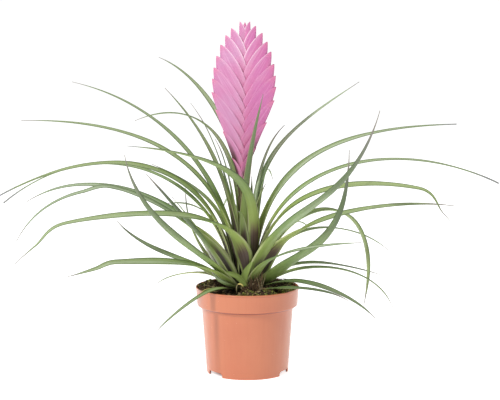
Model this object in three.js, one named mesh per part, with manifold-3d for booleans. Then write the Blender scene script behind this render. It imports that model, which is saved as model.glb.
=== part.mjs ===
// Pink quill plant (Tillandsia cyanea): a rosette of channelled leaves round a flat pink flower quill,
// standing in the soil of a thin plastic nursery pot.
// Millimetres, +Z up. The origin is the centre of the pot's underside. The quill's flat side faces -Y.
// In plan an azimuth of 0 degrees points along +X, 90 along +Y and -90 along -Y.
import * as THREE from "three";
import { mergeVertices } from "three/addons/utils/BufferGeometryUtils.js";
import Module from "manifold-3d";

const wasm = await Module();
wasm.setup();

// ---------------------------------------------------------------- driving dimensions

const GAP = 0.35; // clearance between pieces that touch

// Pot: a 9 cm nursery pot with a deep band at its rim and three arched notches in its foot.
const POT_HEIGHT = 75.5;
const RIM_RADIUS = 45;
const RIM_LIP = 1.6; // the upright part of the rim
const BAND_HEIGHT = 16;
const BAND_FOOT_RADIUS = 43.8;
const BODY_TOP_RADIUS = 39.9;
const BODY_FOOT_RADIUS = 35.5;
const POT_WALL = 1.1;
const FOOT_RING_WALL = 1.7;
const POT_FLOOR_HEIGHT = 5; // the floor stands this high on the foot ring
const POT_FLOOR = 1.4;
const POT_SIDES = 48;
const NOTCH_ANGLES = [-53, 67, 187]; // measured from -Y towards +X
const NOTCH_WIDTH = 31; // degrees
const NOTCH_HEIGHT = 4.2;
const NOTCH_CORNER = 2.5;
const DRAIN_RADIUS = 3.2;
const DRAIN_RING = 22;
const DRAIN_COUNT = 6;

// Soil, and the rootstock that the leaves grow from.
const SOIL_LEVEL = 73.5;
const CROWN_RADIUS = 21.5;
const CROWN_EDGE_HEIGHT = 73.4;
const CROWN_TOP_HEIGHT = 81;
const CROWN_DEPTH = 30;
const CROWN_FOOT_RADIUS = 7;
const CROWN_SIDE = 6; // upright side below its edge
const CROWN_SIDES = 32;
const SOIL_SIDES = 40;

// Leaves.
const LEAF_THICKNESS = 0.65;
const LEAF_TIP_WIDTH = 1.3;
const FIRST_LEAF_RADIUS = 4.6; // the innermost sheath's distance from the axis
const SHEATH_PITCH = 1; // from one sheath to the next that it overlaps
const SHEATH_WRAP = 22; // half the angle that a sheath's foot wraps round the plant, in degrees
const SHEATH_CLEAR = 4; // feet at one distance from the axis stand this many degrees clear
const SHEATH_SPREAD = 14; // how much more it wraps where it is broadest, in degrees
const SHEATH_BROADEST = 30; // how far from its foot that is
const SHEATH_FLARE = 0.8; // half a sheath's greatest width, as a share of its blade's width
const WRAPPED_SHARE = 0.25; // wrapped round the plant for this share of the way to its open blade
// Distances from a leaf's foot, first on the innermost leaf and then on the outermost.
const BLADE_START = [85, 40]; // open blade from here on
const ROLL_START = [50, 8]; // the blade rolls about its own middle line between these two
const ROLL_END = [130, 70];
const FOLD_SPAN = 0.12; // the share of a leaf's line over which a fold bends
const CHANNEL_ANGLE = 1.05; // how far each half of a blade turns up, in radians
const TAPER_POWER = 1.5; // how evenly a blade narrows towards its tip
const LEAF_STEPS = 11;
const STEP_GROWTH = 1.15; // rows stand closer in the sheath
const LEAF_COLUMNS = 4;

// Quill: a flat spike of folded bracts in two ranks, on a stalk in the middle of the rosette.
const QUILL_BASE_X = -6.3;
const QUILL_TOP_X = -2;
const QUILL_BEND = 0.5; // the power by which it straightens from its foot upwards
const QUILL_BASE = 163;
const QUILL_TOP = 305;
const QUILL_HALF_WIDTH = 28;
const QUILL_WIDEST = 246; // the height where it is this wide
const QUILL_TIP_HALF_WIDTH = 4.5;
const QUILL_FOOT_HALF_WIDTH = 3.5;
const QUILL_SWELL = [1.5, 1.7]; // two powers that shape its swell, from its foot to where it is widest
const QUILL_HALF_DEPTH = 5;
const LEFT_TIPS = [188, 211, 230, 245, 256.5, 266, 276, 285.5, 293.5, 299.5, 305];
const RIGHT_TIPS = [197, 219, 238, 249.5, 259, 269, 279.5, 288, 295.5, 301.5, 305];
const BRACT_LENGTH = 46;
const KEEL_STRAIGHT = 12; // a bract's keel runs straight for this far below its tip
const BRACT_STEP = 0.8; // how far a bract's margin stands out from the next bract
const BRACT_EDGE = 0.4; // half the thickness of its keel and tip
const BUD_HALF_WIDTH = 4.5; // the bud that closes the top of the spike
const STEM_FLATNESS = 0.6; // depth of the stem and the bud as a share of their width
const BRACT_ROOT_DEPTH = 2.8; // its root is sunk this far into the spike
const STALK_RADIUS = 2.5;
const STALK_FOOT = CROWN_TOP_HEIGHT + GAP;
const STALK_BRACTS = [84, 103, 122, 138]; // where the bracts that sheathe the stalk begin
const STALK_BRACT_LENGTH = 30;

// ---------------------------------------------------------------- small helpers

const radians = THREE.MathUtils.degToRad;
const { lerp, smoothstep } = THREE.MathUtils;

function point(x, y, z) {
  return new THREE.Vector3(x, y, z);
}

// A geometry from a list of corners and a list of triangles that index them.
function indexed(corners, triangles) {
  const geometry = new THREE.BufferGeometry();
  geometry.setAttribute(
    "position",
    new THREE.Float32BufferAttribute(corners.flatMap((p) => p.toArray()), 3),
  );
  geometry.setIndex(triangles);
  return geometry;
}

// A closed three.js geometry as a solid that can be joined and cut.
function solid(geometry) {
  const bare = geometry.index ? geometry.toNonIndexed() : geometry.clone();
  for (const name of Object.keys(bare.attributes)) {
    if (name !== "position") bare.deleteAttribute(name);
  }
  const merged = mergeVertices(bare, 1e-4);
  return new wasm.Manifold(
    new wasm.Mesh({
      numProp: 3,
      vertProperties: merged.attributes.position.array,
      triVerts: new Uint32Array(merged.index.array),
    }),
  );
}

// A solid as a geometry again.
function geometryOf(body) {
  const mesh = body.getMesh();
  const geometry = new THREE.BufferGeometry();
  const corners = new Float32Array(mesh.numVert * 3);
  for (let i = 0; i < mesh.numVert; i++) {
    corners.set(mesh.vertProperties.subarray(i * mesh.numProp, i * mesh.numProp + 3), i * 3);
  }
  geometry.setAttribute("position", new THREE.BufferAttribute(corners, 3));
  geometry.setIndex(new THREE.BufferAttribute(new Uint32Array(mesh.triVerts), 1));
  return geometry;
}

// A closed sheet between two faces. Each face is a list of rows of points, and both are split into
// triangles alike. Seen from the upper side, columns run to the left of the way that the rows run.
function sheet(upper, lower) {
  const rows = upper.length;
  const columns = upper[0].length;
  const corners = [...upper.flat(), ...lower.flat()];
  const top = (i, j) => i * columns + j;
  const under = (i, j) => rows * columns + i * columns + j;
  const triangles = [];
  const quad = (a, b, c, d) => triangles.push(a, b, c, a, c, d);
  for (let i = 0; i < rows - 1; i++) {
    for (let j = 0; j < columns - 1; j++) {
      triangles.push(top(i, j), top(i + 1, j), top(i + 1, j + 1));
      triangles.push(top(i, j), top(i + 1, j + 1), top(i, j + 1));
      triangles.push(under(i, j), under(i + 1, j + 1), under(i + 1, j));
      triangles.push(under(i, j), under(i, j + 1), under(i + 1, j + 1));
    }
    quad(top(i, 0), under(i, 0), under(i + 1, 0), top(i + 1, 0));
    const edge = columns - 1;
    quad(top(i, edge), top(i + 1, edge), under(i + 1, edge), under(i, edge));
  }
  for (let j = 0; j < columns - 1; j++) {
    quad(top(0, j), top(0, j + 1), under(0, j + 1), under(0, j));
    const end = rows - 1;
    quad(top(end, j), under(end, j), under(end, j + 1), top(end, j + 1));
  }
  return indexed(corners, triangles);
}

// A solid of revolution about Z from a closed or axis-to-axis outline of [radius, height] pairs, walked
// upwards on its outside.
function turned(outline, sides = POT_SIDES) {
  const profile = outline.map(([r, z]) => new THREE.Vector2(r, z));
  const geometry = new THREE.LatheGeometry(profile, sides);
  geometry.rotateX(Math.PI / 2);
  return geometry;
}

function material(color, roughness, metalness = 0) {
  return new THREE.MeshStandardMaterial({ color, roughness, metalness });
}

const plant = new THREE.Group();

function add(name, geometry, finish) {
  const mesh = new THREE.Mesh(geometry, finish);
  mesh.name = name;
  plant.add(mesh);
}

// ---------------------------------------------------------------- materials

const potPlastic = material(0xd98a66, 0.45);
const soilMix = material(0x3a2c22, 0.95);
const rootWood = material(0x6b5a3a, 0.85);
const leafGreen = material(0x76885a, 0.55);
const stalkGreen = material(0x5a4a3c, 0.6);
const quillPink = material(0xdc86b8, 0.5);

// ---------------------------------------------------------------- pot

// A block that cuts an arched notch through the foot, pointing away from the axis at an angle.
function notchCutter(angle) {
  const halfWidth = BODY_FOOT_RADIUS * Math.sin(radians(NOTCH_WIDTH / 2));
  const corner = NOTCH_CORNER;
  const shape = new THREE.Shape();
  shape.moveTo(-halfWidth, -1);
  shape.lineTo(halfWidth, -1);
  shape.lineTo(halfWidth, NOTCH_HEIGHT - corner);
  shape.absarc(halfWidth - corner, NOTCH_HEIGHT - corner, corner, 0, Math.PI / 2);
  shape.lineTo(corner - halfWidth, NOTCH_HEIGHT);
  shape.absarc(corner - halfWidth, NOTCH_HEIGHT - corner, corner, Math.PI / 2, Math.PI);
  const reach = BODY_TOP_RADIUS + 5;
  const block = new THREE.ExtrudeGeometry(shape, { depth: reach, bevelEnabled: false, curveSegments: 4 });
  block.rotateX(Math.PI / 2); // the shape now stands in XZ and runs towards -Y
  block.rotateZ(radians(angle));
  return solid(block);
}

function drainCutter(k) {
  const hole = new THREE.CylinderGeometry(DRAIN_RADIUS, DRAIN_RADIUS, 6, 12);
  hole.rotateX(Math.PI / 2);
  const angle = (k * 2 * Math.PI) / DRAIN_COUNT;
  hole.translate(DRAIN_RING * Math.cos(angle), DRAIN_RING * Math.sin(angle), POT_FLOOR_HEIGHT);
  return solid(hole);
}

const bandFoot = POT_HEIGHT - BAND_HEIGHT;

// The pot's outside radius below the band, at a height.
function bodyRadius(height) {
  return lerp(BODY_FOOT_RADIUS, BODY_TOP_RADIUS, height / (bandFoot - 1));
}

function makePot() {
  const floorTop = POT_FLOOR_HEIGHT + POT_FLOOR;
  const shell = turned([
    [0, POT_FLOOR_HEIGHT],
    [BODY_FOOT_RADIUS - FOOT_RING_WALL - 0.4, POT_FLOOR_HEIGHT],
    [BODY_FOOT_RADIUS - FOOT_RING_WALL, 0],
    [BODY_FOOT_RADIUS, 0],
    [BODY_TOP_RADIUS, bandFoot - 1],
    [BAND_FOOT_RADIUS, bandFoot],
    [RIM_RADIUS, POT_HEIGHT - RIM_LIP],
    [RIM_RADIUS, POT_HEIGHT],
    [RIM_RADIUS - POT_WALL, POT_HEIGHT],
    [BAND_FOOT_RADIUS - POT_WALL, bandFoot + 1.5],
    [BODY_TOP_RADIUS - POT_WALL, bandFoot + 0.5],
    [bodyRadius(floorTop) - POT_WALL, floorTop],
    [0, floorTop],
  ]);
  let pot = solid(shell);
  for (const angle of NOTCH_ANGLES) pot = pot.subtract(notchCutter(angle));
  for (let k = 0; k < DRAIN_COUNT; k++) pot = pot.subtract(drainCutter(k));
  add("pot", geometryOf(pot), potPlastic);
}

// ---------------------------------------------------------------- crown and soil

function makeCrown() {
  const crown = turned(
    [
      [0, CROWN_EDGE_HEIGHT - CROWN_DEPTH],
      [CROWN_FOOT_RADIUS, CROWN_EDGE_HEIGHT - CROWN_DEPTH],
      [CROWN_RADIUS, CROWN_EDGE_HEIGHT - CROWN_SIDE],
      [CROWN_RADIUS, CROWN_EDGE_HEIGHT],
      [0, CROWN_TOP_HEIGHT],
    ],
    CROWN_SIDES,
  );
  add("crown", crown, rootWood);
}

// The height of the crown's sloping top at a distance from the axis.
function crownTop(radius) {
  return lerp(CROWN_TOP_HEIGHT, CROWN_EDGE_HEIGHT, radius / CROWN_RADIUS);
}

// The lumps of the soil's surface: bark and clods as a sum of a few waves.
function soilLump(x, y) {
  const clods = Math.sin(0.55 * x + 1.3) * Math.cos(0.61 * y - 0.4) + Math.sin(0.37 * (x + y));
  const mound = 0.8 * Math.sin(0.06 * (y - x) + 0.3);
  return 0.75 * clods + mound;
}

function makeSoil() {
  const clear = GAP + 0.25; // a polygon's flats lie inside its circle
  const floor = POT_FLOOR_HEIGHT + POT_FLOOR + GAP;
  const hole = CROWN_RADIUS + clear;
  const rimInside = RIM_RADIUS - POT_WALL - clear;
  const outline = [
    [0, floor],
    [bodyRadius(floor) - POT_WALL - clear, floor],
    [BODY_TOP_RADIUS - POT_WALL - clear, bandFoot + 1.2],
    [BAND_FOOT_RADIUS - POT_WALL - clear, bandFoot + 2.4],
    [rimInside - 0.2, SOIL_LEVEL - 2],
    [rimInside - 3, SOIL_LEVEL],
    [rimInside - 8, SOIL_LEVEL],
    [rimInside - 13, SOIL_LEVEL],
    [rimInside - 18, SOIL_LEVEL],
    [hole, SOIL_LEVEL],
    [hole, CROWN_EDGE_HEIGHT - CROWN_SIDE],
    [CROWN_FOOT_RADIUS + clear, CROWN_EDGE_HEIGHT - CROWN_DEPTH - GAP],
    [0, CROWN_EDGE_HEIGHT - CROWN_DEPTH - GAP],
  ];
  const geometry = turned(outline, SOIL_SIDES);
  const corners = geometry.attributes.position;
  for (let i = 0; i < corners.count; i++) {
    if (Math.abs(corners.getZ(i) - SOIL_LEVEL) < 1e-3) {
      corners.setZ(i, SOIL_LEVEL + soilLump(corners.getX(i), corners.getY(i)));
    }
  }
  add("soil", geometryOf(solid(geometry)), soilMix);
}

// ---------------------------------------------------------------- leaves

// Each leaf, from the innermost outwards: the azimuth of its blade; how far its sheath leans from
// upright, and how much of the way to its arch it keeps that lean; the radius and height of the middle
// of its arch, and of its tip; the width of its blade; how far round the crown, in degrees, its sheath
// stands from its blade; how far the open blade rolls about its own middle line, in degrees; how late
// the blade narrows, from about 2 for one that tapers all along to 6 for one that stays broad; and, on
// blades that have been folded down, where along the line and by how many degrees.
const LEAVES = [
  [-26, 1.8, 0.5, 6, 122, 18, 167, 6, 0, -40, 3],
  [47, 2.4, 0.5, 10, 150, 48, 213, 5.5, 0, 10, 2],
  [-72, 1.2, 0.5, 13.5, 162, 43, 246, 6.5, -97, 0, 2.6],
  [35, 2, 0.95, 27, 183, 123, 249, 6.5, 33, 10, 2.2],
  [142, 1.3, 0.9, 36, 200, 130, 213, 8, -34, 15, 2.5],
  [155, 5, 0.8, 26, 172, 80, 246, 7, 0, -20, 2],
  [76, 4, 0.5, 13, 126, 16, 170, 6, 0, 0, 3],
  [132, 5, 0.6, 26.3, 160, 76, 231, 4, 0, 40, 2],
  [218, 5, 0.5, 12, 123, 28, 171, 4, 0, 0, 2.5],
  [235, 5, 0.9, 44, 174, 163, 212, 9.5, 98, 12, 2.1],
  [10, 1.5, 0.9, 57, 186, 187, 214, 10, 15, 18, 2.3],
  [122, 5, 0.65, 47.5, 197.5, 157, 268, 6.5, -56, -3, 3],
  [156, 4.6, 0.7, 55, 187.5, 173, 249, 8, -5, -10, 2],
  [179, 4.5, 0.86, 62, 189, 195, 220, 10, 20, -20, 2],
  [-100, 6, 0.5, 17, 122, 45, 147, 6, 0, 0, 3],
  [150, 6.8, 0.9, 34.5, 143, 99, 177, 6, 0, -12, 2.5],
  [115, 9, 0.5, 28, 142, 69, 198, 3, 0, 35, 2],
  [184, 6.7, 0.9, 80, 178, 214, 156, 8.5, 0, -20, 3],
  [5, 1.5, 0.85, 79, 177.5, 221, 163, 7.5, 0, 16, 2.2],
  [-16, 2, 0.9, 70, 162, 186, 158, 9, 0, 24, 4, 0.84, 30],
  [170, 6, 0.8, 87, 174, 220, 143, 6, 0, -10, 2.5],
  [142, 10, 0.8, 37, 129, 93, 140, 5, 0, 35, 3],
  [203, 4.3, 0.85, 86, 146, 216, 128, 11, 67, -22, 2.8, 0.79, 22],
  [80, 14, 0.6, 56, 150, 138, 152, 9, 0, 15, 2],
  [192, 14, 0.6, 83, 153.5, 190, 155, 10, 5, -35, 2.3],
  [22, 16, 0.9, 78, 138, 113, 50, 10, 0, 0, 6],
  [204, 14.5, 0.5, 97, 158.5, 213, 151, 10, 4, -25, 1.8, 0.59, 14],
  [-50, 14, 0.75, 80, 151.5, 162, 239, 12, 0, -20, 2],
  [-5, 16, 0.75, 82, 141, 181, 148, 10, -36, 22, 2.5],
  [160, 22, 0.5, 39, 114, 71, 151, 5, 0, 20, 2.5],
  [215, 24.3, 0.5, 54.3, 129, 102, 181, 7, 0, 10, 4],
  [100, 22, 0.6, 64, 130, 137, 122, 9, 0, 0, 2],
  [40, 20, 0.8, 84, 118, 172, 89, 7, 0, 0, 2.5],
  [66, 32, 0.6, 70, 114, 147, 105, 8, 0, 0, 2],
  [-45, 24, 0.6, 72, 117, 131, 129, 6, -30, 30, 2.5],
  [150, 52, 0.5, 47, 105, 63, 160, 6, 0, 30, 3],
  [225, 31, 0.4, 79, 124.5, 139, 201, 9, 0, 26, 2.5],
  [-30, 49, 0.8, 72, 121, 98, 200, 11, 0, -50, 1.7],
  [212, 35, 0.6, 87, 105, 173, 112, 10, 14, -26, 4, 0.72, 14],
  [155, 54, 0.5, 72, 95.5, 130, 125, 9, 0, -12, 3],
  [85, 48, 0.5, 68, 92, 134, 80, 8, 0, 0, 2],
  [10, 50, 0.5, 74, 89, 131, 52, 7, 0, 0, 3],
  [40, 50, 0.6, 86, 86, 164, 66, 6, 0, 15, 2.5],
  [240, 45, 0.5, 36, 83, 59, 97, 7, 0, 0, 2.5],
  [-34, 57, 0.5, 69, 83.5, 128, 62, 9, 0, 12, 2.5],
  [-50, 82, 0.5, 70, 83.5, 128, 82, 6, 0, 10, 2.5],
  [140, 65, 0.5, 60, 80, 109, 64, 6, 0, 0, 2.5],
  [229, 58, 0.5, 60, 75.5, 114, 54, 6, 0, 0, 2],
];

// The distance of each sheath from the plant's axis: just outside the earlier sheaths that it overlaps.
function packSheaths() {
  const placed = [];
  for (const leaf of LEAVES) {
    const azimuth = leaf[0] + leaf[8];
    let radius = FIRST_LEAF_RADIUS;
    for (const other of placed) {
      const apart = Math.abs(((((azimuth - other.azimuth) % 360) + 540) % 360) - 180);
      if (apart < 2 * SHEATH_WRAP + SHEATH_CLEAR) radius = Math.max(radius, other.radius + SHEATH_PITCH);
    }
    placed.push({ azimuth, radius });
  }
  return placed.map((sheath) => sheath.radius);
}

// The middle line of a leaf: an arch in the upright plane of its azimuth, which turns round to the
// azimuth of its sheath on the way down.
class LeafLine extends THREE.Curve {
  constructor(leaf, startRadius) {
    super();
    const [azimuth, lean, straight, archRadius, archHeight, tipRadius, tipHeight, , turn] = leaf;
    const [foldAt = 1, fold = 0] = leaf.slice(11);
    const start = new THREE.Vector2(startRadius, crownTop(startRadius) + 2 * GAP);
    const arch = new THREE.Vector2(archRadius, archHeight);
    const tip = new THREE.Vector2(tipRadius, tipHeight);
    const rise = straight * start.distanceTo(arch);
    const first = new THREE.Vector2(Math.sin(radians(lean)), Math.cos(radians(lean)));
    first.multiplyScalar(rise).add(start);
    // The handle that brings the middle of the arch to its place.
    const second = arch.clone().multiplyScalar(8).sub(start).sub(tip);
    second.addScaledVector(first, -3).divideScalar(3);
    this.arc = new THREE.CubicBezierCurve(start, first, second, tip);
    this.azimuth = radians(azimuth);
    this.turn = radians(turn);
    this.foldAt = foldAt;
    this.fold = radians(fold);
    this.foldPoint = this.arc.getPoint(foldAt);
  }

  angleAt(t) {
    return this.azimuth + this.turn * (1 - t) ** 2;
  }

  getPoint(t) {
    const spot = this.arc.getPoint(t);
    spot.rotateAround(this.foldPoint, -this.fold * smoothstep(t, this.foldAt, this.foldAt + FOLD_SPAN));
    const { x: radius, y: height } = spot;
    const angle = this.angleAt(t);
    return point(radius * Math.cos(angle), radius * Math.sin(angle), height);
  }
}

// A leaf as a closed sheet: a sheath that wraps round the plant, opening into a channelled blade.
// outwards runs from 0 for the innermost leaf to 1 for the outermost.
function leafGeometry(leaf, startRadius, outwards) {
  const line = new LeafLine(leaf, startRadius);
  line.arcLengthDivisions = 100;
  const length = line.getLength();
  const bladeWidth = leaf[7];
  const fullRoll = radians(leaf[9]);
  const taper = leaf[10];
  const bladeStart = lerp(...BLADE_START, outwards);
  const rollStart = lerp(...ROLL_START, outwards);
  const rollEnd = lerp(...ROLL_END, outwards);
  const upper = [];
  const lower = [];
  for (let i = 0; i <= LEAF_STEPS; i++) {
    const along = (i / LEAF_STEPS) ** STEP_GROWTH;
    const t = line.getUtoTmapping(along);
    const centre = line.getPoint(t);
    const tangent = line.getTangent(t);
    const angle = line.angleAt(t);
    const across = point(-Math.sin(angle), Math.cos(angle), 0);
    across.addScaledVector(tangent, -across.dot(tangent)).normalize();
    const inward = tangent.clone().cross(across);
    const radius = Math.hypot(centre.x, centre.y);
    const steepness = Math.max(tangent.z, 0);
    const distance = along * length;
    const open = smoothstep(distance, WRAPPED_SHARE * bladeStart, bladeStart);
    const roll = fullRoll * smoothstep(distance, rollStart, rollEnd);
    across.applyAxisAngle(tangent, roll);
    inward.applyAxisAngle(tangent, roll);
    const wrap = SHEATH_WRAP + SHEATH_SPREAD * smoothstep(distance, 0, SHEATH_BROADEST);
    const sheathHalf = Math.min(radius * radians(wrap), SHEATH_FLARE * bladeWidth);
    const bladeHalf = (bladeWidth * (1 - along ** taper) ** TAPER_POWER + LEAF_TIP_WIDTH) / 2;
    const half = lerp(sheathHalf, bladeHalf, open);
    const curl = lerp((half * steepness) / radius, CHANNEL_ANGLE * (1 - 0.6 * along), open);
    const upperRow = [];
    const lowerRow = [];
    for (let j = 0; j < LEAF_COLUMNS; j++) {
      const u = (2 * j) / (LEAF_COLUMNS - 1) - 1;
      const bend = Math.max(curl, 0.02);
      const side = (half / bend) * Math.sin(bend * u);
      const depth = (half / bend) * (1 - Math.cos(bend * u));
      const middle = centre.clone().addScaledVector(across, side).addScaledVector(inward, depth);
      const normal = inward.clone().multiplyScalar(Math.cos(bend * u));
      normal.addScaledVector(across, -Math.sin(bend * u));
      upperRow.push(middle.clone().addScaledVector(normal, LEAF_THICKNESS / 2));
      lowerRow.push(middle.clone().addScaledVector(normal, -LEAF_THICKNESS / 2));
    }
    upper.push(upperRow);
    lower.push(lowerRow);
  }
  return sheet(upper, lower);
}

function makeLeaves() {
  const startRadii = packSheaths();
  LEAVES.forEach((leaf, k) => {
    const name = "leaf_" + String(k + 1).padStart(2, "0");
    add(name, leafGeometry(leaf, startRadii[k], k / (LEAVES.length - 1)), leafGreen);
  });
}

// ---------------------------------------------------------------- stalk and quill

// The quill's middle line at a height.
function quillAxis(height) {
  const up = Math.max(height - QUILL_BASE, 0) / (QUILL_TOP - QUILL_BASE);
  return lerp(QUILL_BASE_X, QUILL_TOP_X, up ** QUILL_BEND);
}

// Half the quill's width over the tips of its bracts, at a height.
function quillHalfWidth(height) {
  if (height > QUILL_WIDEST) {
    const up = Math.min((height - QUILL_WIDEST) / (QUILL_TOP - QUILL_WIDEST), 1);
    return Math.max(QUILL_HALF_WIDTH * Math.sqrt(1 - up * up), QUILL_TIP_HALF_WIDTH);
  }
  const down = Math.min((QUILL_WIDEST - height) / (QUILL_WIDEST - QUILL_BASE), 1);
  return lerp(QUILL_FOOT_HALF_WIDTH, QUILL_HALF_WIDTH, (1 - down ** QUILL_SWELL[0]) ** QUILL_SWELL[1]);
}

// Half the quill's depth at a distance from its middle line.
function quillHalfDepth(offset, height) {
  const share = Math.min(Math.abs(offset) / quillHalfWidth(height), 1);
  const slim = smoothstep(QUILL_TOP + 12 - height, 0, 45);
  return lerp(QUILL_HALF_DEPTH * (0.35 + 0.65 * slim), BRACT_EDGE, share ** 1.3);
}

// One folded bract, as a solid wedge from its two margins to its keel. side is -1 on the left.
function bractSolid(side, tipHeight) {
  const halfWidth = quillHalfWidth(tipHeight);
  const length = Math.min(BRACT_LENGTH, 16 + 1.3 * halfWidth, tipHeight - QUILL_BASE);
  const flat = (x, z) => new THREE.Vector2(x, z);
  // The keel keeps just inside the spike's edge for a while below its tip.
  const edgeBelow = quillHalfWidth(tipHeight - KEEL_STRAIGHT) - halfWidth;
  const keel = new THREE.CubicBezierCurve(
    flat(3, -length),
    flat(Math.min(0.95 * halfWidth, quillHalfWidth(tipHeight - 0.6 * length)), -0.6 * length),
    flat(halfWidth + Math.min(edgeBelow - 1.2, 1), -KEEL_STRAIGHT),
    flat(halfWidth, 0),
  );
  const margin = new THREE.CubicBezierCurve(
    flat(-3.5, -length),
    flat(-0.12 * halfWidth - 1.5, -1.2 * halfWidth),
    flat(0.6 * halfWidth, -0.1 * halfWidth),
    flat(halfWidth, 0),
  );
  const front = [];
  const back = [];
  for (const v of [0, 0.25, 0.45, 0.65, 0.83, 0.97]) {
    const inner = margin.getPoint(v);
    const outer = keel.getPoint(v);
    const frontRow = [];
    const backRow = [];
    for (const u of [0, 0.42, 1]) {
      const spot = inner.clone().lerp(outer, u);
      const height = tipHeight + spot.y;
      const proud = BRACT_STEP * (0.6 - 1.5 * u) * (1 - 0.6 * v);
      const sunk = BRACT_ROOT_DEPTH * (1 - smoothstep(v, 0, 0.45));
      const depth = Math.max(quillHalfDepth(spot.x, height) + proud - sunk, BRACT_EDGE);
      const x = quillAxis(height) + side * spot.x;
      frontRow.push(point(x, -depth, height));
      backRow.push(point(x, depth, height));
    }
    front.push(frontRow);
    back.push(backRow);
  }
  return solid(side > 0 ? sheet(back, front) : sheet(front, back));
}

function makeQuill() {
  // The stem inside, which ends in a flat bud between the topmost bracts.
  const core = turned(
    [
      [0, QUILL_BASE],
      [STALK_RADIUS, QUILL_BASE],
      [STALK_RADIUS, QUILL_WIDEST],
      [BUD_HALF_WIDTH, QUILL_TOP - 19],
      [0.7 * BUD_HALF_WIDTH, QUILL_TOP - 8],
      [0, QUILL_TOP - 0.5],
    ],
    10,
  );
  core.scale(1, STEM_FLATNESS, 1);
  const corners = core.attributes.position;
  for (let i = 0; i < corners.count; i++) {
    corners.setX(i, corners.getX(i) + quillAxis(corners.getZ(i)));
  }
  let quill = solid(core);
  for (const height of LEFT_TIPS) quill = quill.add(bractSolid(-1, height));
  for (const height of RIGHT_TIPS) quill = quill.add(bractSolid(1, height));
  add("quill", geometryOf(quill), quillPink);
}

// The stalk leans from the plant's axis to the foot of the quill, sheathed by pointed bracts.
function makeStalk() {
  const top = QUILL_BASE - GAP;
  const rod = turned(
    [
      [0, STALK_FOOT],
      [STALK_RADIUS, STALK_FOOT],
      [STALK_RADIUS, top],
      [0, top],
    ],
    10,
  );
  let stalk = solid(rod);
  STALK_BRACTS.forEach((foot, k) => {
    const sheath = turned(
      [
        [0, foot],
        [STALK_RADIUS + 0.3, foot],
        [STALK_RADIUS + 1, foot + 0.4 * STALK_BRACT_LENGTH],
        [STALK_RADIUS + 0.6, foot + 0.7 * STALK_BRACT_LENGTH],
        [0, foot + 0.7 * STALK_BRACT_LENGTH],
      ],
      10,
    );
    stalk = stalk.add(solid(sheath.rotateZ(k)));
  });
  const geometry = geometryOf(stalk);
  const lean = QUILL_BASE_X / (top - STALK_FOOT);
  geometry.applyMatrix4(new THREE.Matrix4().makeShear(0, 0, 0, 0, lean, 0));
  geometry.translate(-lean * STALK_FOOT, 0, 0);
  add("flower_stalk", geometry, stalkGreen);
}

// ---------------------------------------------------------------- whole plant

makePot();
makeCrown();
makeSoil();
makeLeaves();
makeStalk();
makeQuill();

export default plant;
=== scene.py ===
"""A pink quill plant in its nursery pot, on a pale floor, with studio light and a camera.

Blender's own objects are in metres, with +Z up and the origin at the centre of the pot's underside.
Sizes that have no unit beside them are in millimetres, as the part's own are.
"""
import math
import random

import bpy
from mathutils import Matrix, Quaternion, Vector, noise


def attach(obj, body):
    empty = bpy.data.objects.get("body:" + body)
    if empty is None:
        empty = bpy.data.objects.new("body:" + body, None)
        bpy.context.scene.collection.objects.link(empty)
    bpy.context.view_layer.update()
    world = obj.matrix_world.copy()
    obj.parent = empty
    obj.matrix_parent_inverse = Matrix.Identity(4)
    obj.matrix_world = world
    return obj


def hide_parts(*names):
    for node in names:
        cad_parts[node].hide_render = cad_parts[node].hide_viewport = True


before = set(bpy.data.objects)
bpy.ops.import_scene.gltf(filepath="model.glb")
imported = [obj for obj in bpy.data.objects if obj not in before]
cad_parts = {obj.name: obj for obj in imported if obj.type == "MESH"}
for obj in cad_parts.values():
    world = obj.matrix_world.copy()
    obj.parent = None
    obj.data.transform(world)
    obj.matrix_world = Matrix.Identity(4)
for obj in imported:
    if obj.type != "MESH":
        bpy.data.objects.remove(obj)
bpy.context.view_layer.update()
scene = bpy.context.scene

MM = 0.001

# ------------------------ the part's dimensions, in mm

GAP = 0.35

POT_HEIGHT = 75.5
RIM_RADIUS = 45
RIM_LIP = 1.6
BAND_HEIGHT = 16
BAND_FOOT = POT_HEIGHT - BAND_HEIGHT
BAND_FOOT_RADIUS = 43.8
BODY_TOP_RADIUS = 39.9
BODY_FOOT_RADIUS = 35.5
POT_WALL = 1.1
FOOT_RING_WALL = 1.7
POT_FLOOR_HEIGHT = 5
POT_FLOOR = 1.4
NOTCH_ANGLES = (-53, 67, 187)
NOTCH_WIDTH = 31
NOTCH_HEIGHT = 4.2
NOTCH_CORNER = 2.5
DRAIN_RADIUS = 3.2
DRAIN_RING = 22
DRAIN_COUNT = 6

SOIL_RADIUS = RIM_RADIUS - POT_WALL - GAP
SOIL_LEVEL = 73.5
CROWN_RADIUS = 21.5
CROWN_EDGE_HEIGHT = 73.4
CROWN_TOP_HEIGHT = 81

LEAF_THICKNESS = 0.65
FIRST_LEAF_RADIUS = 4.6
SHEATH_PITCH = 1
SHEATH_WRAP = 22
SHEATH_SPREAD = 14
SHEATH_BROADEST = 30
SHEATH_FLARE = 0.8
WRAPPED_SHARE = 0.25
BLADE_START = (85, 40)
ROLL_START = (50, 8)
ROLL_END = (130, 70)
CHANNEL_ANGLE = 1.05
TAPER_POWER = 1.5
LEAF_TIP_WIDTH = 1.3
FOLD_SPAN = 0.12

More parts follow.
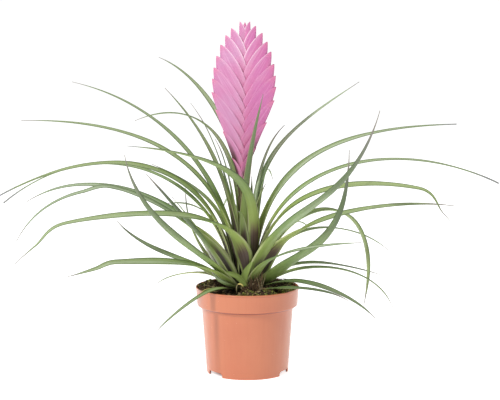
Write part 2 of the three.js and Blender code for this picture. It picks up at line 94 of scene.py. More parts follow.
QUILL_BASE_X = -6.3
QUILL_TOP_X = -2
QUILL_BEND = 0.5
QUILL_BASE = 163
QUILL_TOP = 305
QUILL_HALF_WIDTH = 28
QUILL_WIDEST = 246
QUILL_TIP_HALF_WIDTH = 4.5
QUILL_FOOT_HALF_WIDTH = 3.5
QUILL_SWELL = (1.5, 1.7)
QUILL_HALF_DEPTH = 5
LEFT_TIPS = (188, 211, 230, 245, 256.5, 266, 276, 285.5, 293.5, 299.5, 305)
RIGHT_TIPS = (197, 219, 238, 249.5, 259, 269, 279.5, 288, 295.5, 301.5, 305)
BRACT_LENGTH = 46
KEEL_STRAIGHT = 12
BUD_HALF_WIDTH = 4.5
BUD_LENGTH = 19
STEM_FLATNESS = 0.6
BRACT_STEP = 0.8
BRACT_EDGE = 0.4
STALK_RADIUS = 2.5
STALK_FOOT = CROWN_TOP_HEIGHT + GAP
STALK_BRACTS = (84, 103, 122, 138)

# Each leaf, from the innermost outwards: azimuth, lean, straight share, arch radius, arch height, tip
# radius, tip height, blade width, turn of its sheath, roll of its blade and how late it narrows; then,
# on folded blades, the share of the line where the fold is and its angle.
LEAVES = (
    (-26, 1.8, 0.5, 6, 122, 18, 167, 6, 0, -40, 3),
    (47, 2.4, 0.5, 10, 150, 48, 213, 5.5, 0, 10, 2),
    (-72, 1.2, 0.5, 13.5, 162, 43, 246, 6.5, -97, 0, 2.6),
    (35, 2, 0.95, 27, 183, 123, 249, 6.5, 33, 10, 2.2),
    (142, 1.3, 0.9, 36, 200, 130, 213, 8, -34, 15, 2.5),
    (155, 5, 0.8, 26, 172, 80, 246, 7, 0, -20, 2),
    (76, 4, 0.5, 13, 126, 16, 170, 6, 0, 0, 3),
    (132, 5, 0.6, 26.3, 160, 76, 231, 4, 0, 40, 2),
    (218, 5, 0.5, 12, 123, 28, 171, 4, 0, 0, 2.5),
    (235, 5, 0.9, 44, 174, 163, 212, 9.5, 98, 12, 2.1),
    (10, 1.5, 0.9, 57, 186, 187, 214, 10, 15, 18, 2.3),
    (122, 5, 0.65, 47.5, 197.5, 157, 268, 6.5, -56, -3, 3),
    (156, 4.6, 0.7, 55, 187.5, 173, 249, 8, -5, -10, 2),
    (179, 4.5, 0.86, 62, 189, 195, 220, 10, 20, -20, 2),
    (-100, 6, 0.5, 17, 122, 45, 147, 6, 0, 0, 3),
    (150, 6.8, 0.9, 34.5, 143, 99, 177, 6, 0, -12, 2.5),
    (115, 9, 0.5, 28, 142, 69, 198, 3, 0, 35, 2),
    (184, 6.7, 0.9, 80, 178, 214, 156, 8.5, 0, -20, 3),
    (5, 1.5, 0.85, 79, 177.5, 221, 163, 7.5, 0, 16, 2.2),
    (-16, 2, 0.9, 70, 162, 186, 158, 9, 0, 24, 4, 0.84, 30),
    (170, 6, 0.8, 87, 174, 220, 143, 6, 0, -10, 2.5),
    (142, 10, 0.8, 37, 129, 93, 140, 5, 0, 35, 3),
    (203, 4.3, 0.85, 86, 146, 216, 128, 11, 67, -22, 2.8, 0.79, 22),
    (80, 14, 0.6, 56, 150, 138, 152, 9, 0, 15, 2),
    (192, 14, 0.6, 83, 153.5, 190, 155, 10, 5, -35, 2.3),
    (22, 16, 0.9, 78, 138, 113, 50, 10, 0, 0, 6),
    (204, 14.5, 0.5, 97, 158.5, 213, 151, 10, 4, -25, 1.8, 0.59, 14),
    (-50, 14, 0.75, 80, 151.5, 162, 239, 12, 0, -20, 2),
    (-5, 16, 0.75, 82, 141, 181, 148, 10, -36, 22, 2.5),
    (160, 22, 0.5, 39, 114, 71, 151, 5, 0, 20, 2.5),
    (215, 24.3, 0.5, 54.3, 129, 102, 181, 7, 0, 10, 4),
    (100, 22, 0.6, 64, 130, 137, 122, 9, 0, 0, 2),
    (40, 20, 0.8, 84, 118, 172, 89, 7, 0, 0, 2.5),
    (66, 32, 0.6, 70, 114, 147, 105, 8, 0, 0, 2),
    (-45, 24, 0.6, 72, 117, 131, 129, 6, -30, 30, 2.5),
    (150, 52, 0.5, 47, 105, 63, 160, 6, 0, 30, 3),
    (225, 31, 0.4, 79, 124.5, 139, 201, 9, 0, 26, 2.5),
    (-30, 49, 0.8, 72, 121, 98, 200, 11, 0, -50, 1.7),
    (212, 35, 0.6, 87, 105, 173, 112, 10, 14, -26, 4, 0.72, 14),
    (155, 54, 0.5, 72, 95.5, 130, 125, 9, 0, -12, 3),
    (85, 48, 0.5, 68, 92, 134, 80, 8, 0, 0, 2),
    (10, 50, 0.5, 74, 89, 131, 52, 7, 0, 0, 3),
    (40, 50, 0.6, 86, 86, 164, 66, 6, 0, 15, 2.5),
    (240, 45, 0.5, 36, 83, 59, 97, 7, 0, 0, 2.5),
    (-34, 57, 0.5, 69, 83.5, 128, 62, 9, 0, 12, 2.5),
    (-50, 82, 0.5, 70, 83.5, 128, 82, 6, 0, 10, 2.5),
    (140, 65, 0.5, 60, 80, 109, 64, 6, 0, 0, 2.5),
    (229, 58, 0.5, 60, 75.5, 114, 54, 6, 0, 0, 2),
)

# The share of each leaf that is dry and brown at its tip, where it differs from the usual.
DRY_TIP = 0.08
DRY_TIPS = {2: 0.16, 8: 0.3, 9: 0.2, 17: 0.2, 19: 0.12, 21: 0.12, 28: 0.14, 29: 0.2, 31: 0.14,
            36: 0.2, 38: 0.16, 43: 0.2, 46: 0.2}

# How grey each blade is and how strong the painted highlight along its channel is, from 0 to 1, how far
# up from its foot it is purple, and how dark it is, from 0 to 1; on the inner leaves that darkness is
# painted shade. Where the channel's painted highlight is strongest, the margins are pale too.
USUAL_LOOK = (0.5, 0.35, 45, 0.05)
LOOKS = {
    1: (0.4, 0.1, 80, 0.5), 2: (0.8, 0.96, 40, 0), 3: (0.4, 0.05, 62, 0.38), 4: (0.8, 1, 40, 0),
    5: (0.4, 0.3, 60, 0.1), 6: (0.4, 0.1, 60, 0.15), 7: (0.4, 0.1, 80, 0.5), 8: (0.5, 0.2, 60, 0.3),
    9: (0.4, 0.1, 85, 0.4), 10: (0.2, 0.1, 62, 0), 11: (0.5, 0.7, 56, 0), 14: (0.3, 0.3, 54, 0),
    15: (0.2, 0.1, 62, 0.55), 16: (0.4, 0.2, 60, 0.3), 17: (0.4, 0.2, 60, 0.3),
    18: (0.1, 0.3, 52, 0.05), 19: (0.4, 0.7, 52, 0), 20: (0, 0.1, 50, 0), 21: (0.5, 0.4, 50, 0),
    22: (0.4, 0.2, 60, 0.3), 23: (0.3, 0.35, 46, 0), 25: (0.9, 0.7, 50, 0), 26: (0.1, 0.6, 46, 0),
    27: (0.9, 0.7, 50, 0), 28: (0.78, 0.9, 34, 0), 29: (0.2, 0.3, 52, 0), 31: (0.9, 0.3, 30, 0.1),
    35: (0.8, 0.8, 12, 0), 37: (0.45, 0.6, 18, 0.1), 38: (0.5, 0.4, 4, 0.12), 39: (0.3, 0.6, 18, 0),
    40: (0.5, 0.5, 20, 0.1), 42: (0.5, 0.3, 8, 0.1), 43: (0.5, 0.3, 8, 0.1), 44: (0.8, 0.1, 0, 0.4),
    45: (0.5, 0.2, 0, 0.4), 46: (0.5, 0.2, 0, 0.35), 48: (0.3, 0.4, 0, 0.1),
}

LEAF_ROWS = 72
EVEN_PLACES = tuple(k / 4 - 1 for k in range(9))  # of a sheet's columns, from one margin to the other
TIP_ROLL = 1.1  # how much more a blade rolls inwards at its tip, in radians
LEAF_MARGIN = 0.22  # thickness of a leaf at its margins
RIPPLE = 0.03  # how far the margins rise and sink, as a share of the leaf's half width
RIPPLE_PITCH = 0.11  # how fast they do so along the leaf, in radians to the millimetre
FACING_FEET = {25: 55, 27: 50, 29: -35, 38: -24}  # degrees that a sheath's outer face turns forwards
FACING_SPAN = (32, 85)  # distances from the foot over which that turn fades
LEAF_POINT = 0.5  # width of a leaf at its very tip
BLUNT_POINTS = {10: 0.6, 11: 1.6, 18: 2.2, 19: 2.8, 21: 3.2}  # this width on leaves with withered ends
ROSY_MARGINS = (3,)  # leaves with pale pink margins

# How dusky the upper parts of some leaves are, from 0 to 1.
DUSKY_ENDS = {28: 0.8, 31: 0.75, 36: 0.5, 37: 0.65, 38: 0.8, 40: 0.5, 43: 0.5, 46: 0.5}


# ------------------------ small helpers

def lerp(a, b, t):
    return a + (b - a) * t


def smoothstep(x, low, high):
    t = min(max((x - low) / (high - low), 0), 1)
    return t * t * (3 - 2 * t)


def cubic(a, b, c, d, t):
    s = 1 - t
    return a * (s ** 3) + b * (3 * s * s * t) + c * (3 * s * t * t) + d * (t ** 3)


def shares(count):
    """Even shares from 0 to 1, one more than the count of steps between them."""
    return [i / count for i in range(count + 1)]


def bezier_path(handles, count):
    return [cubic(*[Vector(h) for h in handles], t) for t in shares(count)]


def headings(path):
    """The way that a path runs at each of its points."""
    return [ahead - behind for behind, ahead in zip(path[:1] + path, path[1:] + path[-1:])]


def polar(radius, azimuth, height):
    """A point from cylindrical coordinates, with the azimuth in radians."""
    return Vector((radius * math.cos(azimuth), radius * math.sin(azimuth), height))


def circle(sides):
    """The angles of a ring's points, in radians."""
    return [math.tau * s / sides for s in range(sides)]


def ring(centre, way, radius, sides, off):
    """Points round a centre, square to a way. off is any direction that isn't the way's own."""
    side = way.cross(Vector(off)).normalized()
    other = way.cross(side).normalized()
    return [centre + (side * math.cos(a) + other * math.sin(a)) * radius for a in circle(sides)]


def tube_faces(rings, sides):
    """The faces of a tube that is closed at both ends, from the points of its rings."""
    last = (rings - 1) * sides
    faces = []
    for a in range(0, last, sides):
        for s in range(sides):
            n = (s + 1) % sides
            faces.append((a + s, a + n, a + sides + n, a + sides + s))
    return faces + [tuple(reversed(range(sides))), tuple(range(last, last + sides))]


def sheet_faces(rows, columns):
    """The faces of a closed sheet, from its upper points row by row and then its lower ones. Seen from
    the upper side, columns run to the left of the way that the rows follow each other."""
    under = rows * columns
    end = columns - 1
    faces = []
    for a in range(0, under - columns, columns):
        b = a + columns
        for j in range(end):
            faces.append((a + j, b + j, b + j + 1, a + j + 1))
            faces.append((under + a + j, under + a + j + 1, under + b + j + 1, under + b + j))
        faces.append((a, under + a, under + b, b))
        faces.append((a + end, b + end, under + b + end, under + a + end))
    for j in range(end):
        k = under - columns + j
        faces.append((j, j + 1, under + j + 1, under + j))
        faces.append((k, under + k, under + k + 1, k + 1))
    return faces


def new_object(name, data):
    made = bpy.data.objects.new(name, data)
    scene.collection.objects.link(made)
    return made


class Form:
    """The points and faces of one piece, and the numbers that its finish reads at each point by name."""

    def __init__(self, points=(), faces=()):
        self.points = list(points)
        self.faces = list(faces)
        self.numbers = {}

    def add(self, points, faces, **numbers):
        """One part of the piece. A number that isn't a list is the same at all its points."""
        base = len(self.points)
        self.points += points
        self.faces += [tuple(base + k for k in face) for face in faces]
        for key, values in numbers.items():
            if not isinstance(values, list):
                values = [values] * len(points)
            self.numbers.setdefault(key, []).extend(values)

    def add_sheet(self, rows, by_row=None, by_column=None, **numbers):
        """A closed sheet from the rows of its middle. Each place there is a point and its skin, the way
        from it to the upper side. Numbers may differ by row or by column."""
        columns = len(rows[0])
        for key, values in (by_row or {}).items():
            numbers[key] = [v for v in values for _ in range(columns)] * 2
        for key, values in (by_column or {}).items():
            numbers[key] = list(values) * (2 * len(rows))
        points = [middle + skin * side for side in (1, -1) for row in rows for middle, skin in row]
        self.add(points, sheet_faces(len(rows), columns), **numbers)

    def piece(self, name, slot, material, smooth=True):
        mesh = bpy.data.meshes.new(name)
        mesh.from_pydata([p * MM for p in self.points], [], self.faces)
        for key, values in self.numbers.items():
            mesh.attributes.new(key, "FLOAT", "POINT").data.foreach_set("value", values)
        mesh.polygons.foreach_set("use_smooth", [smooth] * len(mesh.polygons))
        mesh.materials.append(material)
        mesh.update()
        piece = new_object(name, mesh)
        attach(piece, "root")
        return piece


# ------------------------ materials

def hexed(code):
    """A colour in the renderer's own scale from six hexadecimal digits."""
    levels = [int(code[i:i + 2], 16) / 255 for i in (0, 2, 4)]
    return tuple(c / 12.92 if c <= 0.04045 else ((c + 0.055) / 1.055) ** 2.4 for c in levels) + (1,)


class Number:
    """A number that varies over a surface, held by one socket, so that sums are written as sums."""

    def __init__(self, finish, socket):
        self.finish = finish
        self.socket = socket

    def math(self, operation, *terms):
        return self.finish.add("Math", {"operation": operation}, dict(enumerate(terms)))

    def __add__(self, other):
        return self.math("ADD", self, other)

    __radd__ = __add__

    def __sub__(self, other):
        return self.math("SUBTRACT", self, other)

    def __rsub__(self, other):
        return self.math("SUBTRACT", other, self)

    def __mul__(self, other):
        return self.math("MULTIPLY", self, other)

    __rmul__ = __mul__

    def __abs__(self):
        return self.math("ABSOLUTE", self)

    def rise(self, low, high):
        """0 where this is below low and 1 where it is above high, with a smooth rise between."""
        sockets = {"Value": self, "From Min": low, "From Max": high}
        return self.finish.add("MapRange", {"interpolation_type": "SMOOTHSTEP"}, sockets)

    def fall(self, low, high):
        """1 where this is below low and 0 where it is above high."""
        return 1 - self.rise(low, high)

    def mix(self, low, high):
        """The colour low where this is 0, turning into high where it is 1."""
        return self.finish.add("Mix", {"data_type": "RGBA"}, {0: self, 6: low, 7: high}, 2)


class Finish:
    """A material under construction, on one Principled shader. Colours are six hexadecimal digits."""

    def __init__(self, name, specular, roughness=0.5):
        self.material = bpy.data.materials.new(name)
        self.material.use_nodes = True
        self.tree = self.material.node_tree
        self.feed("Specular IOR Level", specular)
        self.feed("Roughness", roughness)

    def add(self, kind, settings=None, sockets=None, output=0):
        """One node: its settings are set first, then the values or links of its sockets."""
        node = self.tree.nodes.new("ShaderNode" + kind)
        for key, value in (settings or {}).items():
            if key == "stops":
                ramp = node.color_ramp
                while len(ramp.elements) < len(value):
                    ramp.elements.new(0.5)
                for element, (place, colour) in zip(ramp.elements, value):
                    element.position = place
                    element.color = hexed(colour)
            else:
                setattr(node, key, value)
        for key, value in (sockets or {}).items():
            self.set(node.inputs[key], value)
        return Number(self, node.outputs[output])

    def set(self, socket, value):
        if isinstance(value, Number):
            self.tree.links.new(value.socket, socket)
        else:
            socket.default_value = hexed(value) if isinstance(value, str) else value

    def feed(self, name, value):
        """Sets or links one of the shader's own sockets."""
        self.set(self.tree.nodes["Principled BSDF"].inputs[name], value)

    def colour(self, base, *layers):
        """A base colour under layers. Each has the share that it covers and its colour."""
        self.feed("Base Color", layered(base, *layers))

    def bump(self, height, depth, strength=1):
        """Relief of a depth in metres where height goes from 0 to 1."""
        sockets = {"Height": height, "Distance": depth, "Strength": strength}
        self.feed("Normal", self.add("Bump", sockets=sockets))

    def attributes(self, *names):
        """The numbers that the piece holds at each point under these names."""
        return [self.add("Attribute", {"attribute_name": name}, output=2) for name in names]

    def place(self):
        """Where a point is, in the piece's own frame, in metres."""
        return self.add("TexCoord", output=3)

    def height(self):
        return self.add("SeparateXYZ", sockets={0: self.place()}, output=2) * (1 / MM)

    def from_axis(self):
        """How far a point is from the pot's axis."""
        flat = self.add("VectorMath", {"operation": "MULTIPLY"}, {0: self.place(), 1: (1, 1, 0)})
        return self.add("VectorMath", {"operation": "LENGTH"}, {0: flat}, 1) * (1 / MM)

    def noise(self, scale, detail=2, roughness=0.5, over=None):
        """Noise over where a point is, or over three numbers."""
        place = self.add("CombineXYZ", sockets=dict(enumerate(over))) if over else self.place()
        sockets = {"Vector": place, "Scale": scale, "Detail": detail, "Roughness": roughness}
        return self.add("TexNoise", sockets=sockets)

    def streaks(self, *scales):
        """Noise that is drawn out where its scale along X, Y or Z is small."""
        stretched = self.add("Mapping", sockets={"Vector": self.place(), "Scale": scales})
        return self.add("TexNoise", sockets={"Vector": stretched, "Scale": 1, "Detail": 3})

    def shades(self, *stops):
        """The shade of each scrap, from the darkest seed to the palest."""
        return self.add("ValToRGB", {"stops": stops}, {"Fac": self.attributes("seed")[0]})


def layered(base, *layers):
    for share, colour in layers:
        base = share.mix(base, colour)
    return base


def leaf_finish():
    """Satin green with a painted highlight along its channel and dark margins, a purple-brown sheath
    and a dry tip. Painted shade darkens the inner leaves, and adds to each foot's own dark brown near the
    soil.
    """
    finish = Finish("leaf_green", specular=0.4)
    across, along, foot, seed, inner = finish.attributes("across", "along", "from_foot", "seed", "inner")
    grey, pale, dark, dusky = finish.attributes("grey", "pale", "dark", "dusk")
    reach, rosy, dry, ashen = finish.attributes("purple", "rosy", "dry", "ashen")
    side = abs(across)
    grain = finish.noise(1.6, 3, 0.6, over=(across * 4, foot * 0.03, seed * 17))
    fibre = finish.noise(1.2, over=(across * 14, foot * 0.02, seed * 29))
    patch = finish.noise(1.5, over=(across * 0.5, foot * 0.02, seed * 7))
    stripe = finish.noise(1.5, 3, 0.65, over=(across * 7, foot * 0.012, seed * 11))

    fresh = grey.mix("93ac58", "7c9964")
    outer = grey.mix("a3b479", "98a986")
    # Where the channel's painted highlight lies: along the blade's middle, stronger on its inner face.
    channel = side.fall(0.05, 0.6) * grain.rise(0.2, 0.6) * (0.5 + 0.5 * inner)
    blade = layered(
        (along + (patch - 0.5) * 0.5).rise(0.2, 0.7).mix(fresh, outer),
        (patch.rise(0.6, 0.8) * 0.4, "5a733c"),
        (fibre.rise(0.5, 0.72) * 0.45, "4a6231"),
        (grain.rise(0.5, 0.8) * 0.35, "b4c290"),
        # painted highlight along the channel
        (channel * pale, "c9d6b8"),
        ((1 - inner) * (0.42 - 0.35 * pale), "536a3a"),
        (side.rise(0.66, 0.98) * 0.8, pale.rise(0.92, 1).mix(rosy.mix("44592f", "e0a9a0"), "a9b892")),
        (
            (along + (patch - 0.5) * 0.2).rise(0.35, 0.7) * dusky,
            along.rise(0.7, 0.95).mix("4c5e3c", "6c6468"),
        ),
        # darker blades; on the inner leaves this is painted shade
        (dark, "33452a"),
    )

    # The sheath is purple-brown along its middle, darkest at its foot, between yellow-green margins.
    up = foot + (patch - 0.5) * 20 + (stripe - 0.5) * 16
    middle = (side + (stripe - 0.5) * 0.3).fall(0.5, 0.75)
    chalk = grey.rise(0.8, 0.9) * (across * -1).rise(0.2, 0.6) * (1 - inner)
    purple = layered(
        stripe.rise(0.35, 0.65).mix(grey.mix("482c2e", "5a5050"), grey.mix("62484a", "7b7070")),
        (up.rise(reach * 0.55, reach * 0.9) * 0.6, "75504a"),
        (foot.fall(0, reach * 0.7) * 0.75, "2b1f22"),
        # darker sheaths; on the inner leaves this is painted shade
        (dark, "1f1417"),
    )
    end = (along + (grain - 0.5) * 0.06).rise(1 - dry, 1 - dry * 0.35)
    finish.colour(
        blade,
        (foot.fall(reach, reach + 40) * (1 - dark) * 0.7, "a4b45f"),
        (side.rise(0.7, 0.9) * foot.fall(reach, reach + 15) * 0.6, "c6c79a"),
        (chalk * foot.fall(reach, reach + 40) * 0.8, "a9aa9c"),
        (up.fall(reach - 18, reach) * middle * 0.95, purple),
        # each leaf's foot, near the soil: its own dark brown and painted shade
        (foot.fall(3, 13) * 0.75, "33281f"),
        (end, ashen.mix("8d877c", "8b8d8a")),
    )
    finish.feed("Roughness", 0.4 + 0.2 * grain + 0.15 * end)
    finish.bump(fibre * 0.7 + grain * 0.3, 0.00012, 0.8)
    return finish.material


def quill_finish():
    """Pink bracts, coral at their tips, over darker keels low down, with a painted highlight along their
    margins, white high up, and painted shade towards their keels, where a neighbouring bract's margin lies
    over them.
    """
    finish = Finish("quill_pink", specular=0.35)
    across, along, height, side, seed = finish.attributes("across", "along", "height", "side", "seed")
    vein = finish.noise(1.3, 3, 0.65, over=(across * 8, along * 0.8, seed * 13))
    cloud = finish.noise(60)
    lavender = cloud.rise(0.35, 0.65).mix("c98fb5", "cb83ad")
    magenta = cloud.rise(0.35, 0.65).mix("cd74ab", "d17cab")
    crisp = 0.15 + 0.85 * height.rise(0.5, 0.8)
    finish.colour(
        (side + cloud * 0.5).rise(-0.2, 1.2).mix(lavender, magenta),
        (height.fall(0, 0.5) * 0.5, "cc6f97"),
        (vein.rise(0.5, 0.8) * 0.4, "b85c90"),
        (vein.fall(0.25, 0.5) * 0.45, "e9bad6"),
        (along.fall(0.1, 0.5) * 0.5, "d68ba9"),
        (along.rise(0.75, 1) * 0.6, "e07f9e"),
        # painted highlight: a pale band along each bract's margin, stronger high up
        (across.fall(0.03, 0.3) * crisp * 0.4, "e3aecb"),
        # painted shade towards the keel, under a neighbouring bract's margin
        (across.rise(0.3, 0.75) * (0.1 + 0.12 * crisp), "c4609a"),
        # painted highlight: white lines at the margins, mostly high up
        (across.fall(0, 0.12) * (0.06 + 0.89 * height.rise(0.68, 0.86)), "f3d3e4"),
        (height.fall(0.16, 0.36) * across.rise(0.3, 0.7), "4c2c2a"),
    )
    finish.feed("Roughness", 0.38 + 0.2 * vein)
    finish.bump(vein, 0.00018, 0.8)
    return finish.material


def stalk_finish():
    """Olive-brown to purple, streaked lengthwise."""
    finish = Finish("stalk_bract", specular=0.35)
    streak = finish.streaks(900, 900, 30)
    finish.colour(streak.rise(0.3, 0.7).mix("3a2a28", "66603a"))
    finish.feed("Roughness", 0.4 + 0.25 * streak)
    finish.bump(streak, 0.00015, 0.7)
    return finish.material


def pot_finish():
    """Thin terracotta-coloured plastic with a satin skin, with painted shade within its foot, along the
    fold under its band and in a fine line under the rim's lip.
    """
    finish = Finish("pot_plastic", specular=0.5)
    finish.feed("Coat Weight", 0.6)
    finish.feed("Coat Roughness", 0.25)
    cloud = finish.noise(28)
    streak = finish.streaks(500, 500, 12)
    height = finish.height()
    shade_within_foot = finish.from_axis().fall(BODY_FOOT_RADIUS - 1.2, BODY_FOOT_RADIUS - 0.7)
    low = height.fall(0.9 * POT_FLOOR_HEIGHT, 1.1 * POT_FLOOR_HEIGHT)
    crease_shade = height.rise(BAND_FOOT - 2.4, BAND_FOOT - 0.7) * height.fall(BAND_FOOT, BAND_FOOT + 0.5)
    finish.colour(
        cloud.rise(0.3, 0.7).mix("c06c48", "c4724c"),
        (streak.rise(0.45, 0.8) * 0.15, "b4613f"),
        (finish.noise(900, 1).rise(0.79, 0.83) * 0.5, "f2c8ae"),
        # painted shade within the foot, under the pot's floor
        (shade_within_foot * low * 0.9, "4a2019"),
        # painted shade along the fold under the band
        (crease_shade * 0.95, "843c2a"),
        # painted shade: a fine dark line at the lower edge of the rim's lip
        (abs(height - (POT_HEIGHT - RIM_LIP)).fall(0.15, 0.5) * 0.4, "8e4430"),
    )
    finish.feed("Roughness", 0.34 + 0.12 * streak + 0.06 * cloud)
    finish.bump(streak * 0.6 + finish.noise(1800) * 0.4, 0.00005, 0.6)
    return finish.material


def soil_finish():
    """Dark peat, darkest in the hollows of its relief, with paler patches."""
    finish = Finish("peat", specular=0.25)
    crumb = finish.noise(420, 4, 0.65)
    peat = crumb.rise(0.35, 0.7).mix("2c221a", "5a4634")
    finish.colour(peat, (finish.noise(110, 3).rise(0.55, 0.75) * 0.5, "6e573f"))
    finish.feed("Roughness", 0.75 + 0.2 * crumb)
    finish.bump(crumb, 0.0012)
    return finish.material


def chip_finish():
    """Bark chips, each in its own brown."""
    finish = Finish("bark_chip", specular=0.25, roughness=0.85)
    grain = finish.streaks(300, 1200, 300)
    own = finish.shades((0, "2a201a"), (0.35, "4a382a"), (0.6, "6d543c"), (0.8, "8f7654"), (1, "cdb88c"))
    finish.colour(own, (grain.rise(0.35, 0.7) * 0.5, "201610"))
    finish.bump(grain, 0.0005)
    return finish.material


def moss_finish():
    """Moss, from dark green to yellow-green at the ends of its shoots."""
    finish = Finish("moss", specular=0.2, roughness=0.8)
    seed, along = finish.attributes("seed", "along")
    dark = seed.mix("50542a", "706840")
    bright = seed.rise(0.5, 1).mix("7f8539", "dce07a")
    finish.colour(along.rise(0.1, 0.9).mix(dark, bright))
    return finish.material


def straw_finish():
    """Dry threads and scraps of old leaf."""
    finish = Finish("straw", specular=0.3, roughness=0.7)
    own = finish.shades((0, "4c4436"), (0.5, "8f8465"), (1, "dccb78"))
    finish.colour(own, (finish.noise(900).rise(0.4, 0.7) * 0.35, "3f3324"))
    return finish.material


def fibre_finish():
    """The fibres of old sheaths, from dark brown to tan."""
    finish = Finish("dry_sheath", specular=0.25, roughness=0.75)
    grain = finish.streaks(1500, 1500, 200)
    own = finish.shades((0, "33261d"), (0.3, "5a4632"), (0.6, "846c4c"), (1, "d8cba4"))
    finish.colour(own, (grain.rise(0.4, 0.7) * 0.5, "33231a"))
    finish.bump(grain, 0.0002, 0.8)
    return finish.material


def root_finish():
    """The rootstock: brown, ringed with the scars of old leaves."""
    finish = Finish("rootstock", specular=0.25, roughness=0.85)
    bands = {"Vector": finish.place(), "Scale": 160, "Distortion": 4}
    scar = finish.add("TexWave", {"bands_direction": "Z"}, bands, 1)
    grain = finish.noise(500, 3)
    finish.colour(grain.rise(0.35, 0.7).mix("3d2d1d", "6e5a3c"), (scar * 0.4, "2a1e14"))
    finish.bump(scar * 0.6 + grain * 0.4, 0.0006)
    return finish.material


# ------------------------ leaves

def crown_top(radius):
    return lerp(CROWN_TOP_HEIGHT, CROWN_EDGE_HEIGHT, radius / CROWN_RADIUS)


def pack_sheaths():
    """The distance of each sheath from the axis: just outside the earlier sheaths that it overlaps."""
    placed = []
    for leaf in LEAVES:
        azimuth = leaf[0] + leaf[8]
        radius = FIRST_LEAF_RADIUS
        for other_azimuth, other_radius in placed:
            apart = abs((azimuth - other_azimuth + 180) % 360 - 180)
            if apart < 2 * SHEATH_WRAP + 4:
                radius = max(radius, other_radius + SHEATH_PITCH)
        placed.append((azimuth, radius))
    return [radius for azimuth, radius in placed]


class LeafLine:
    """A leaf's middle line: an arch in the upright plane of its azimuth, turned round at its foot."""

    def __init__(self, leaf, start_radius):
        azimuth, lean, straight, arch_radius, arch_height, tip_radius, tip_height = leaf[:7]
        start = Vector((start_radius, crown_top(start_radius) + 2 * GAP))
        arch = Vector((arch_radius, arch_height))
        tip = Vector((tip_radius, tip_height))
        rise = straight * (arch - start).length
        away = Vector((math.sin(math.radians(lean)), math.cos(math.radians(lean))))
        first = start + away * rise
        second = (arch * 8 - start - first * 3 - tip) / 3
        self.handles = (start, first, second, tip)
        self.azimuth = math.radians(azimuth)
        self.turn = math.radians(leaf[8])
        self.fold_at, fold = leaf[11:] or (1, 0)
        self.fold = math.radians(fold)
        self.fold_point = cubic(*self.handles, self.fold_at)

    def angle(self, t):
        return self.azimuth + self.turn * (1 - t) ** 2

    def point(self, t):
        share = smoothstep(t, self.fold_at, self.fold_at + FOLD_SPAN)
        beyond = cubic(*self.handles, t) - self.fold_point
        radius, height = self.fold_point + Matrix.Rotation(-self.fold * share, 2) @ beyond
        return polar(radius, self.angle(t), height)

    def even_steps(self, count):
        """count + 1 values of t whose points stand evenly along the line, and the line's length."""
        fine = 300
        points = [self.point(t) for t in shares(fine)]
        lengths = [0]
        for a, b in zip(points, points[1:]):
            lengths.append(lengths[-1] + (b - a).length)
        steps = []
        k = 0
        for share in shares(count):
            wanted = lengths[-1] * share
            while k < fine - 1 and lengths[k + 1] < wanted:
                k += 1
            steps.append((k + (wanted - lengths[k]) / (lengths[k + 1] - lengths[k])) / fine)
        return steps, lengths[-1]


